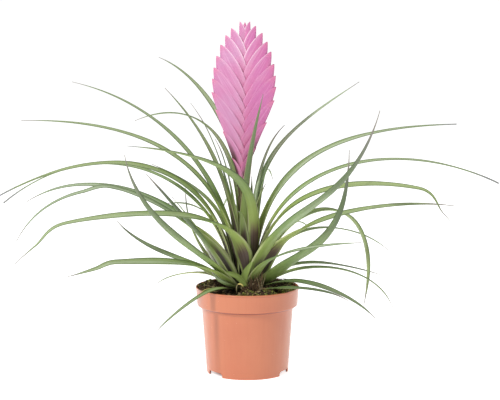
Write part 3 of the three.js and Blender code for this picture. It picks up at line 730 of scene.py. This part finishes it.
def make_leaf(number, leaf, start_radius, material):
    """A leaf: a thin closed sheet, wrapped round the plant at its foot and channelled along its blade."""
    line = LeafLine(leaf, start_radius)
    steps, length = line.even_steps(LEAF_ROWS)
    blade_width, taper = leaf[7], leaf[10]
    full_roll = math.radians(leaf[9])
    outwards = (number - 1) / (len(LEAVES) - 1)
    spans = (BLADE_START, ROLL_START, ROLL_END)
    blade_start, roll_start, roll_end = [lerp(*span, outwards) for span in spans]
    point_width = BLUNT_POINTS.get(number, LEAF_POINT)
    facing = math.radians(FACING_FEET.get(number, 0))
    ripple = random.Random(number).uniform(0, 6)
    places = shares(LEAF_ROWS)
    rows = []
    for along, t in zip(places, steps):
        distance = along * length
        centre = line.point(t)
        tangent = (line.point(min(t + 1e-3, 1)) - line.point(max(t - 1e-3, 0))).normalized()
        angle = line.angle(t)
        across = Vector((-math.sin(angle), math.cos(angle), 0))
        across = (across - tangent * across.dot(tangent)).normalized()
        roll = full_roll * smoothstep(distance, roll_start, roll_end)
        roll += facing * (1 - smoothstep(distance, *FACING_SPAN))
        across.rotate(Quaternion(tangent, roll))
        inward = tangent.cross(across)
        radius = math.hypot(centre.x, centre.y)
        opened = smoothstep(distance, WRAPPED_SHARE * blade_start, blade_start)
        wrap = SHEATH_WRAP + SHEATH_SPREAD * smoothstep(distance, 0, SHEATH_BROADEST)
        sheath_half = min(radius * math.radians(wrap), SHEATH_FLARE * blade_width)
        least = lerp(LEAF_TIP_WIDTH, point_width, smoothstep(along, 0.85, 1))
        blade_half = (blade_width * (1 - along ** taper) ** TAPER_POWER + least) / 2
        half = lerp(sheath_half, blade_half, opened)
        sheath_curl = half * max(tangent.z, 0) / radius
        channel = CHANNEL_ANGLE * (1 - 0.6 * along) + TIP_ROLL * smoothstep(along, 0.65, 1)
        curl = max(lerp(sheath_curl, channel, opened), 0.02)
        wave = RIPPLE * math.sin(distance * RIPPLE_PITCH + ripple) * opened
        row = []
        for u in EVEN_PLACES:
            bend = curl * u
            offset = across * (half / curl * math.sin(bend))
            lift = inward * (half / curl * (1 - math.cos(bend)) + wave * half * u)
            normal = inward * math.cos(bend) - across * math.sin(bend)
            thick = lerp(LEAF_THICKNESS, LEAF_MARGIN, abs(u) ** 3) * min(1, 0.6 + half / 4)
            row.append((centre + offset + lift, normal * (thick / 2)))
        rows.append(row)

    by_row = {"along": places, "from_foot": [length * along for along in places]}
    count = len(places) * len(EVEN_PLACES)
    looks = dict(zip(("grey", "pale", "purple", "dark"), LOOKS.get(number, USUAL_LOOK)))
    form = Form()
    form.add_sheet(
        rows, by_row, {"across": EVEN_PLACES}, inner=[1] * count + [0] * count,
        seed=(number * 0.618) % 1, dry=DRY_TIPS.get(number, DRY_TIP), dusk=DUSKY_ENDS.get(number, 0),
        ashen=int(number in BLUNT_POINTS), rosy=int(number in ROSY_MARGINS), **looks,
    )
    name = f"leaf_{number:02d}"
    piece = form.piece(name + "_blade", "leaf", material)
    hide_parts(name)


def make_leaves():
    material = leaf_finish()
    start_radii = pack_sheaths()
    for k, leaf in enumerate(LEAVES):
        make_leaf(k + 1, leaf, start_radii[k], material)
    make_short_sheaths(material)


# Short sheaths between the leaves' feet: four handles, half their width and the way that they face, as
# an azimuth in degrees.
SHORT_SHEATHS = (
    (((-2, -12, 77), (-4, -13.5, 87), (-1, -16, 92), (5, -18, 101)), 3.2, -100),
    (((-2, -16, 78), (-5, -18, 88), (-12, -20, 91), (-25, -23, 92)), 2.6, -105),
)
SHORT_ROWS = 24
SHORT_HOLLOW = 0.35  # how hollow they are, as a share of their half width
SHORT_SPAN = (46, 58)  # the distances from a leaf's foot whose colours they have


def make_short_sheaths(material):
    """Yellow-green sheaths that stayed short, pointed at their ends."""
    for k, (handles, half_width, facing) in enumerate(SHORT_SHEATHS):
        path = bezier_path(handles, SHORT_ROWS)
        outer = polar(1, math.radians(facing), 0)
        skin = outer * (LEAF_MARGIN / 2)
        rows = []
        for centre, heading, t in zip(path, headings(path), shares(SHORT_ROWS)):
            tangent = heading.normalized()
            across = outer.cross(tangent).normalized()
            half = half_width * (1 - t ** 2.5) ** 0.7 + 0.2
            hollow = across.cross(tangent) * (SHORT_HOLLOW * half)
            rows.append([(centre + across * (half * u) - hollow * u * u, skin) for u in EVEN_PLACES])
        from_foot = [lerp(*SHORT_SPAN, t) for t in shares(SHORT_ROWS)]
        form = Form()
        form.add_sheet(
            rows, {"from_foot": from_foot}, {"across": EVEN_PLACES},
            along=0.2, seed=0.3 + 0.2 * k, inner=0.5, grey=0, pale=0.1, purple=34,
        )
        form.piece(f"short_sheath_{k + 1}", "leaf", material)


# ------------------------ stalk and quill

def quill_axis(height):
    up = max(height - QUILL_BASE, 0) / (QUILL_TOP - QUILL_BASE)
    return lerp(QUILL_BASE_X, QUILL_TOP_X, up ** QUILL_BEND)


def quill_half_width(height):
    if height > QUILL_WIDEST:
        up = min((height - QUILL_WIDEST) / (QUILL_TOP - QUILL_WIDEST), 1)
        return max(QUILL_HALF_WIDTH * math.sqrt(1 - up * up), QUILL_TIP_HALF_WIDTH)
    down = min((QUILL_WIDEST - height) / (QUILL_WIDEST - QUILL_BASE), 1)
    return lerp(QUILL_FOOT_HALF_WIDTH, QUILL_HALF_WIDTH, (1 - down ** QUILL_SWELL[0]) ** QUILL_SWELL[1])


def quill_half_depth(offset, height):
    share = min(abs(offset) / quill_half_width(height), 1)
    slim = smoothstep(QUILL_TOP + 12 - height, 0, 45)
    return lerp(QUILL_HALF_DEPTH * (0.35 + 0.65 * slim), BRACT_EDGE, share ** 1.3)


BRACT_RELIEF = (0.17, 0.4)  # share of the part's own step that the bracts keep, low and high up
BRACT_ROWS = shares(22)  # of the rows, from foot to tip
BRACT_PLACES = (0, 0.03, 0.15, 0.29, 0.43, 0.57, 0.71, 0.86, 1)  # of the columns, from margin to keel
BRACT_END = 0.985  # share of its length where a bract's last row is
BRACT_ROOT = 2.8  # how far a bract's root sinks into the spike
KEEL_DEPTH = 0.12  # half the thickness of a keel


def add_bract(form, side, tip_height, seed):
    """One folded bract, from its margins near the middle of the quill to its keel at the edge."""
    half_width = quill_half_width(tip_height)
    length = min(BRACT_LENGTH, 16 + 1.3 * half_width, tip_height - QUILL_BASE)
    edge_below = quill_half_width(tip_height - KEEL_STRAIGHT) - half_width
    low_edge = quill_half_width(tip_height - 0.6 * length)
    keel = [
        Vector((3, -length)),
        Vector((min(0.95 * half_width, low_edge), -0.6 * length)),
        Vector((half_width + min(edge_below - 1.2, 1), -KEEL_STRAIGHT)),
        Vector((half_width, 0)),
    ]
    margin = [
        Vector((-3.5, -length)),
        Vector((-0.12 * half_width - 1.5, -1.2 * half_width)),
        Vector((0.6 * half_width, -0.1 * half_width)),
        Vector((half_width, 0)),
    ]
    rows = []
    for step in BRACT_ROWS:
        v = BRACT_END * step
        inner = cubic(*margin, v)
        outer = cubic(*keel, v)
        row = []
        for u in BRACT_PLACES:
            spot = inner.lerp(outer, u)
            height = tip_height + spot.y
            relief = lerp(*BRACT_RELIEF, smoothstep(height, QUILL_WIDEST, QUILL_WIDEST + 25))
            proud = relief * BRACT_STEP * (0.35 - u) * (1 - 0.6 * v)
            lip = 0.15 * relief * (1 - smoothstep(u, 0, 0.12)) * smoothstep(v, 0.2, 0.6)
            swell = 0.12 * relief * math.sin(math.pi * u) * (1 - v) * smoothstep(v, 0, 0.3)
            sunk = BRACT_ROOT * (1 - smoothstep(v, 0, 0.45))
            depth = quill_half_depth(spot.x, height) + proud + lip + swell - sunk
            depth = max(depth, KEEL_DEPTH) if u < 1 else KEEL_DEPTH
            middle = Vector((quill_axis(height) + side * spot.x, 0, height))
            row.append((middle, Vector((0, side * depth, 0))))
        rows.append(row)
    form.add_sheet(rows, {"along": BRACT_ROWS}, {"across": BRACT_PLACES}, side=side, seed=seed)


def add_bud(form):
    """The flat bud that closes the top of the spike, pointed at its end."""
    rows = []
    for step in BRACT_ROWS:
        height = lerp(QUILL_TOP - BUD_LENGTH, QUILL_TOP - 0.5, step)
        half = BUD_HALF_WIDTH * (1 - 0.99 * step ** 2)
        row = []
        for u in EVEN_PLACES:
            depth = max(STEM_FLATNESS * half * math.sqrt(1 - u * u), 0.1)
            row.append((Vector((quill_axis(height) + half * u, 0, height)), Vector((0, depth, 0))))
        rows.append(row)
    form.add_sheet(rows, {"along": BRACT_ROWS}, across=0.5, side=0, seed=0.5)


def make_quill():
    form = Form()
    bracts = [(-1, h) for h in LEFT_TIPS] + [(1, h) for h in RIGHT_TIPS]
    for k, (side, tip_height) in enumerate(bracts):
        add_bract(form, side, tip_height, k / len(bracts))
    add_bud(form)
    form.numbers["height"] = [(p.z - QUILL_BASE) / (QUILL_TOP - QUILL_BASE) for p in form.points]
    quill = form.piece("quill_bracts", "quill_bract", quill_finish())
    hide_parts("quill")


STALK_ROWS = shares(12)  # of the rings on the stalk and on each of its bracts, from foot to tip
STALK_BRACT_LENGTH = 26


def make_stalk():
    """The stalk, sheathed by pointed bracts that stand a little off it at their tips."""
    top = QUILL_BASE + 6
    lean = QUILL_BASE_X / (top - STALK_FOOT)
    form = Form()

    def add_tube(rings, sides):
        """A tube from the radius, height and sideways shift of each ring."""
        points = []
        for radius, height, x_shift, y_shift in rings:
            shift = Vector((x_shift + lean * (height - STALK_FOOT), y_shift, 0))
            points += [polar(radius, a, height) + shift for a in circle(sides)]
        form.add(points, tube_faces(len(rings), sides))

    add_tube([(STALK_RADIUS, lerp(STALK_FOOT, top, t), 0, 0) for t in STALK_ROWS], 20)
    for k, foot in enumerate(STALK_BRACTS):
        way = k * 2.4
        rings = []
        for t in STALK_ROWS:
            swell = STALK_RADIUS + 0.25 + 0.75 * math.sin(math.pi * min(t * 1.1, 1))
            radius = lerp(swell, 0.5, smoothstep(t, 0.55, 1))
            shift = 2.3 * smoothstep(t, 0.5, 1)
            height = foot + STALK_BRACT_LENGTH * t
            rings.append((radius, height, shift * math.cos(way), shift * math.sin(way)))
        add_tube(rings, 16)
    stalk = form.piece("stalk_bracts", "stalk_bract", stalk_finish())
    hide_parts("flower_stalk")


# ------------------------ pot

def lathe(outline, sides):
    """Points and faces of a solid of revolution from a closed outline that starts and ends on the axis."""
    points = [Vector((0, 0, outline[0][1]))]
    for radius, height in outline[1:-1]:
        points += [polar(radius, a, height) for a in circle(sides)]
    points.append(Vector((0, 0, outline[-1][1])))
    last = len(points) - 1
    faces = []
    for s in range(sides):
        n = (s + 1) % sides
        faces.append((0, 1 + n, 1 + s))
        for a in range(1, last - sides, sides):
            faces.append((a + s, a + n, a + sides + n, a + sides + s))
        faces.append((last - sides + s, last - sides + n, last))
    return points, faces


def rounded(outline, radii, steps=4):
    """An outline with its corners rounded; a corner with radius 0 stays sharp."""
    result = []
    for k, (corner, radius) in enumerate(zip(outline, radii)):
        here = Vector(corner)
        if radius == 0:
            result.append(tuple(here))
            continue
        back = (Vector(outline[k - 1]) - here).normalized()
        ahead = (Vector(outline[k + 1]) - here).normalized()
        start = here + back * radius
        end = here + ahead * radius
        for t in shares(steps):
            result.append(tuple(start.lerp(here, t).lerp(here.lerp(end, t), t)))
    return result


POT_SIDES = 192
SHARP_EDGE = 38  # degrees between two faces from which their edge stays sharp
NOTCH_BLOCK_LENGTH = 50
DRAIN_ROD_LENGTH = 8
DRAIN_ROD_SIDES = 32


def cut(piece, cutters):
    """Cuts each cutter out of a piece, and removes the cutters."""
    for cutter in cutters:
        change = piece.modifiers.new("cut", "BOOLEAN")
        change.operation = "DIFFERENCE"
        change.solver = "EXACT"
        change.object = cutter
    bpy.context.view_layer.update()
    whole = piece.evaluated_get(bpy.context.evaluated_depsgraph_get())
    piece.data = bpy.data.meshes.new_from_object(whole)
    piece.modifiers.clear()
    for cutter in cutters:
        bpy.data.objects.remove(cutter)


def notch_block(angle):
    """A block with a notch's arched outline, from the axis out through the foot ring."""
    half = BODY_FOOT_RADIUS * math.sin(math.radians(NOTCH_WIDTH / 2))
    corners = [(-half, -2), (half, -2)]
    for k in range(7):
        bend = polar(NOTCH_CORNER, math.radians(15 * k), 0)
        corners.append((half - NOTCH_CORNER + bend.x, NOTCH_HEIGHT - NOTCH_CORNER + bend.y))
    corners += [(-x, z) for x, z in reversed(corners[2:])]
    turn = Matrix.Rotation(math.radians(angle), 3, "Z")
    mesh = bpy.data.meshes.new("notch")
    ends = (0, -NOTCH_BLOCK_LENGTH)
    points = [turn @ Vector((x, y, z)) * MM for y in ends for x, z in corners]
    mesh.from_pydata(points, [], tube_faces(2, len(corners)))
    return new_object("notch", mesh)


def drain_rod(angle):
    """A rod as wide as a drain hole, through the pot's floor."""
    bpy.ops.mesh.primitive_cylinder_add(
        vertices=DRAIN_ROD_SIDES,
        radius=DRAIN_RADIUS * MM,
        depth=DRAIN_ROD_LENGTH * MM,
        location=polar(DRAIN_RING, angle, POT_FLOOR_HEIGHT) * MM,
    )
    return bpy.context.object


def body_radius(height):
    return lerp(BODY_FOOT_RADIUS, BODY_TOP_RADIUS, height / (BAND_FOOT - 1))


def make_pot():
    floor_top = POT_FLOOR_HEIGHT + POT_FLOOR
    outline = [
        (0, POT_FLOOR_HEIGHT),
        (BODY_FOOT_RADIUS - FOOT_RING_WALL - 0.4, POT_FLOOR_HEIGHT),
        (BODY_FOOT_RADIUS - FOOT_RING_WALL, 0),
        (BODY_FOOT_RADIUS, 0),
        (body_radius(BAND_FOOT - 1.4), BAND_FOOT - 1.4),
        (BAND_FOOT_RADIUS, BAND_FOOT),
        (RIM_RADIUS - 0.25, POT_HEIGHT - RIM_LIP - 0.25),
        (RIM_RADIUS, POT_HEIGHT - RIM_LIP),
        (RIM_RADIUS, POT_HEIGHT),
        (RIM_RADIUS - POT_WALL, POT_HEIGHT),
        (BAND_FOOT_RADIUS - POT_WALL, BAND_FOOT + 1.5),
        (BODY_TOP_RADIUS - POT_WALL, BAND_FOOT + 0.5),
        (body_radius(floor_top) - POT_WALL, floor_top),
        (0, floor_top),
    ]
    radii = [0, 0.5, 0.35, 0.7, 0.8, 1.1, 0.1, 0.1, 0.45, 0.45, 0.4, 0.4, 0.5, 0]
    form = Form(*lathe(rounded(outline, radii), POT_SIDES))
    pot = form.piece("pot_shell", "pot_plastic", pot_finish())
    notches = [notch_block(angle) for angle in NOTCH_ANGLES]
    cut(pot, notches + [drain_rod(angle) for angle in circle(DRAIN_COUNT)])
    pot.data.polygons.foreach_set("use_smooth", [True] * len(pot.data.polygons))
    pot.data.set_sharp_from_angle(angle=math.radians(SHARP_EDGE))
    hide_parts("pot")


# ------------------------ soil

def soil_lump(x, y):
    """The part's own large lumps."""
    clods = math.sin(0.55 * x + 1.3) * math.cos(0.61 * y - 0.4) + math.sin(0.37 * (x + y))
    return 0.75 * clods + 0.8 * math.sin(0.06 * (y - x) + 0.3)


# Heaps of bark and moss: azimuth in degrees, distance from the axis, spread and height.
HEAPS = (
    (-88, 31, 8, 3.4), (-62, 32, 9, 3.8), (-36, 35, 8, 3.2), (-10, 37, 7, 2.5), (178, 38, 6, 3.4),
    (152, 38, 7, 3.2), (30, 38, 8, 3.5), (72, 36, 9, 3), (110, 37, 9, 3),
)


def heap_height(x, y):
    """How far the highest heap at a place rises above the soil."""
    highest = 0
    for azimuth, distance, spread, height in HEAPS:
        middle = polar(distance, math.radians(azimuth), 0)
        apart = math.hypot(x - middle.x, y - middle.y)
        highest = max(highest, height * math.exp(-(apart / spread) ** 2))
    return highest


SOIL_SIDES = 160


def soil_height(x, y):
    """The height of the soil's surface, with its heaps, where it meets the pot's wall too."""
    fine = noise.noise(Vector((x, y, 0)) * 0.35) * 1.1 + noise.noise(Vector((x, y, 5)) * 0.9) * 0.7
    height = min(SOIL_LEVEL + soil_lump(x, y) + fine + heap_height(x, y), POT_HEIGHT + 3)
    return lerp(height, SOIL_LEVEL + 1.3, smoothstep(math.hypot(x, y), SOIL_RADIUS - 3, SOIL_RADIUS))


def make_soil():
    """A lumpy top over a plain plug that fills the pot."""
    floor = POT_FLOOR_HEIGHT + POT_FLOOR + GAP
    edge = SOIL_RADIUS - 0.3
    outline = [
        (0, floor),
        (body_radius(floor) - POT_WALL - GAP, floor),
        (BODY_TOP_RADIUS - POT_WALL - GAP, BAND_FOOT + 1.2),
        (BAND_FOOT_RADIUS - POT_WALL - GAP, BAND_FOOT + 2.4),
        (edge, SOIL_LEVEL - 2.5),
    ]
    outline += [(edge - 1.05 * k, SOIL_LEVEL) for k in range(1, 40)]
    outline.append((0, SOIL_LEVEL))
    form = Form(*lathe(outline, SOIL_SIDES))
    for p in form.points:
        if p.z >= SOIL_LEVEL - 0.01:
            p.z = soil_height(p.x, p.y)
    soil = form.piece("soil_plug", "soil_mix", soil_finish())
    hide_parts("soil")


FLAKE_FACES = ((0, 3, 2, 1), (4, 5, 6, 7), (0, 1, 5, 4), (1, 2, 6, 5), (2, 3, 7, 6), (3, 0, 4, 7))


def add_flake(form, draw, centre, size, seed):
    """An irregular flake with eight corners."""
    turn = Matrix.Rotation(draw.uniform(0, math.tau), 3, "Z")
    turn = turn @ Matrix.Rotation(draw.uniform(-0.7, 0.7), 3, "X")
    turn = turn @ Matrix.Rotation(draw.uniform(-0.5, 0.5), 3, "Y")
    long = size * draw.uniform(0.9, 1.8)
    wide = size * draw.uniform(0.5, 0.9)
    thick = size * draw.uniform(0.15, 0.4)
    points = []
    for z in (-thick, thick):
        for x, y in ((-long, -wide), (long, -wide), (long, wide), (-long, wide)):
            corner = Vector([reach * draw.uniform(0.55, 1.1) for reach in (x, y, z)])
            points.append(centre + turn @ corner)
    form.add(points, FLAKE_FACES, seed=seed)


CHIP_COUNT = 2400
CHIP_SIZES = (0.3, 0.35, 0.45, 0.6, 0.8, 1.2)
CHIP_REACH = 43  # how far from the axis chips lie
CHIP_START = 0.12  # share of that circle, round the crown, that is left free of them


def make_chips():
    draw = random.Random(11)
    form = Form()
    for _ in range(CHIP_COUNT):
        radius = CHIP_REACH * math.sqrt(draw.uniform(CHIP_START, 1))
        angle = draw.uniform(0, math.tau)
        size = draw.choice(CHIP_SIZES)
        place = polar(min(radius, CHIP_REACH - size * 1.5), angle, 0)
        place.z = soil_height(place.x, place.y) + draw.uniform(-0.1, 0.6) * size
        add_flake(form, draw, place, size, draw.random() ** 1.2)
    form.piece("bark_chips", "soil_mix", chip_finish(), smooth=False)


def add_shoot(form, foot, away, size, seed):
    """A slim three-sided shoot."""
    off = (0.3, 0.5, 0.8)
    points = ring(foot, away, size * 0.18, 3, off)
    points += ring(foot + away * size * 0.55, away, size * 0.22, 3, off)
    points.append(foot + away * size)
    faces = [(2, 1, 0)]
    for k in range(3):
        n = (k + 1) % 3
        faces += [(k, n, 3 + n, 3 + k), (3 + k, 3 + n, 6)]
    form.add(points, faces, along=[0, 0, 0, 0.6, 0.6, 0.6, 1], seed=seed)


MOSS_REACH = 42.6  # how far from the axis moss grows
# Patches of moss: azimuth in degrees, distance from the axis, spread and number of shoots.
MOSS_PATCHES = (
    (-128, 41, 3, 60), (-112, 40, 4, 90), (-101, 41, 3, 70), (-94, 36, 4, 90), (-86, 41, 4, 130),
    (-82, 31, 4, 100), (-75, 38, 4, 90), (-66, 41, 3, 90), (-60, 32, 4, 80), (-54, 40, 4, 110),
    (-42, 41, 4, 110), (-34, 36, 4, 80), (-26, 41, 4, 130), (-12, 40, 4, 130), (4, 41, 3, 70),
    (178, 40, 4, 110), (165, 36, 4, 90), (148, 39, 5, 110), (20, 39, 4, 70), (60, 39, 5, 90),
    (100, 38, 6, 130), (130, 40, 4, 60),
)


def make_moss():
    draw = random.Random(5)
    form = Form()
    for azimuth, distance, spread, count in MOSS_PATCHES:
        middle = polar(distance, math.radians(azimuth), 0)
        for _ in range(count):
            x = middle.x + draw.gauss(0, spread * 0.5)
            y = middle.y + draw.gauss(0, spread * 0.5)
            inwards = min(MOSS_REACH / math.hypot(x, y), 1)
            x, y = x * inwards, y * inwards
            foot = Vector((x, y, soil_height(x, y) - 0.2))
            away = Vector((draw.uniform(-0.9, 0.9), draw.uniform(-0.9, 0.9), 0.8)).normalized()
            add_shoot(form, foot, away, draw.uniform(0.6, 1.7), draw.random())
    form.piece("moss_tufts", "soil_mix", moss_finish())


# Dry threads on the soil and over the rim: four handles each, their radius and their shade.
THREADS = (
    (((-26, -22, 76), (-30, -26, 80), (-36, -30, 79), (-40, -27, 75)), 0.3, 0.9),
    (((-36, -10, 76), (-42, -8, 80), (-30, -18, 79), (-24, -24, 76)), 0.35, 0.55),
    (((28, -14, 77), (34, -16, 82), (38, -18, 80), (41, -14, 76)), 0.22, 0.4),
    (((12, -22, 76), (18, -28, 79), (26, -26, 78), (30, -20, 76)), 0.25, 0.7),
    (((-9, -30, 75), (-9.6, -31, 80), (-9, -31.5, 83), (-7, -31.5, 83.4)), 0.45, 0.6),
    (((-8.6, -31, 82.2), (-7, -31.5, 84), (-4.6, -31.8, 83.6), (-3.4, -31, 80.8)), 0.7, 1),
    (((20, 20, 76), (30, 26, 80), (34, 18, 79), (38, 12, 76)), 0.25, 0.5),
)
THREAD_STEPS = 17
THREAD_SIDES = 6


def make_threads():
    """Round threads, closed at both ends and thinner towards them."""
    form = Form()
    for handles, radius, seed in THREADS:
        path = bezier_path(handles, THREAD_STEPS)
        points = []
        for i, (centre, heading) in enumerate(zip(path, headings(path))):
            slim = radius * (0.35 + 0.65 * math.sin(math.pi * (i + 0.5) / len(path)))
            points += ring(centre, heading, slim, THREAD_SIDES, (0.2, 0.4, 0.9))
        form.add(points, tube_faces(len(path), THREAD_SIDES), seed=seed)
    form.piece("dry_threads", "soil_mix", straw_finish())


# Dry remains of old sheaths round the crown: azimuths in degrees, distance from the axis, the height
# and width of their fibres, how many there are, and their shades.
DRY_SHEATHS = (
    (-88, -72, 23, 12, 1.6, 26, (0.05, 0.5)),
    (-76, -64, 23.5, 17, 1.5, 26, (0.1, 0.6)),
    (-65, -62, 24.5, 18, 1.4, 5, (0.55, 0.8)),
    (-100, -88, 23, 6, 1.2, 14, (0.1, 0.6)),
    (-60, -40, 24, 6, 1.2, 14, (0.1, 0.6)),
    (150, 170, 24, 8, 1.4, 16, (0.1, 0.6)),
)
FIBRE_ROWS = shares(6)  # of the rows, from foot to tip
FIBRE_THICKNESS = 0.25


def add_fibre(form, foot, away, across, length, width, bend, seed):
    """A dry fibre: a narrow strip that tapers from its foot and bends over sideways."""
    rows = []
    skin = away.cross(across).normalized() * (FIBRE_THICKNESS / 2)
    for t in FIBRE_ROWS:
        centre = foot + away * (length * t) + across * (bend * t * t)
        half = across * (width / 2 * (1 - 0.85 * t))
        rows.append([(centre - half, skin), (centre + half, skin)])
    form.add_sheet(rows, seed=seed)


def make_dry_sheaths():
    """Dry fibres, each with a small scrap near it."""
    draw = random.Random(23)
    form = Form()
    for first, last, distance, height, width, count, shade in DRY_SHEATHS:
        for _ in range(count):
            azimuth = math.radians(draw.uniform(first, last))
            foot = polar(distance + draw.uniform(-0.8, 0.8), azimuth, SOIL_LEVEL)
            outwards = polar(1, azimuth, 0)
            away = (Vector((0, 0, 1)) + outwards * draw.uniform(-0.05, 0.25)).normalized()
            across = outwards.cross(Vector((0, 0, 1)))
            away = (away + across * draw.uniform(-0.3, 0.3)).normalized()
            length = (height + 2) * draw.uniform(0.6, 1)
            own_width = width * draw.uniform(0.5, 1)
            bend = draw.uniform(-2.5, 2.5)
            add_fibre(form, foot, away, across, length, own_width, bend, draw.uniform(*shade))
            scrap = foot + away * draw.uniform(2, height) + outwards * draw.uniform(0.3, 0.8)
            add_flake(form, draw, scrap, draw.uniform(0.25, 0.6), draw.uniform(0.2, 1))
    form.piece("dry_sheaths", "rootstock", fibre_finish())


def finish_crown():
    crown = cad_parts["crown"]
    crown.data.materials.clear()
    crown.data.materials.append(root_finish())


# ------------------------ floor, light and camera

def make_stage():
    """A floor that glows white, with a painted dark red-brown shadow under the pot, fading out before the
    edge of its foot.
    """
    finish = Finish("pale_floor", specular=0.1, roughness=0.9)
    finish.colour((0.8, 0.8, 0.8, 1))
    outside_painted_shadow = finish.from_axis().rise(BODY_FOOT_RADIUS - 11, BODY_FOOT_RADIUS - 3)
    # painted shadow: the glow turns dark red-brown under the pot
    finish.feed("Emission Color", outside_painted_shadow.mix("3c1a14", "ffffff"))
    finish.feed("Emission Strength", 0.78)
    bpy.ops.mesh.primitive_plane_add(size=60, location=(0, 0, 0))
    floor = bpy.context.object
    floor.name = "floor"
    floor.data.materials.append(finish.material)


def add_light(name, place, target, size, power):
    light = bpy.data.lights.new(name, "AREA")
    light.shape = "RECTANGLE"
    light.size, light.size_y = size
    light.energy = power
    lamp = new_object(name, light)
    lamp.location = place
    lamp.rotation_euler = (Vector(target) - lamp.location).to_track_quat("-Z", "Y").to_euler()


def make_light():
    world = bpy.data.worlds.new("studio")
    world.use_nodes = True
    background = world.node_tree.nodes["Background"]
    background.inputs["Color"].default_value = (1, 1, 1, 1)
    background.inputs["Strength"].default_value = 0.32
    scene.world = world
    plant = (0, 0, 0.15)
    pot = (0, 0, 0.1)
    add_light("key", (-1.2, -1.5, 1.7), plant, (0.22, 0.22), 34)
    add_light("top", (0.2, -0.1, 2.2), plant, (1.2, 1.2), 9)
    add_light("left_strip", (-1.3, -0.1, 0.35), pot, (0.9, 1), 0.8)
    add_light("left_back", (-1.1, 1.2, 0.45), pot, (0.5, 1), 6)
    add_light("right_back", (1.1, 1.2, 0.45), pot, (0.5, 1), 5)
    scene.view_settings.view_transform = "Standard"
    scene.view_settings.look = "None"


def make_camera():
    camera = bpy.data.cameras.new("camera")
    camera.lens = 117.5
    camera.sensor_width = 36
    camera.clip_end = 100
    shooter = new_object("camera", camera)
    shooter.location = (0.0023, -1.4, 0.343)
    shooter.rotation_euler = (math.radians(90 - 7.8), 0, 0)
    scene.camera = shooter


# ------------------------ whole scene

make_camera()
make_light()
make_stage()
make_pot()
make_soil()
make_chips()
make_moss()
make_threads()
make_dry_sheaths()
finish_crown()
make_stalk()
make_quill()
make_leaves()
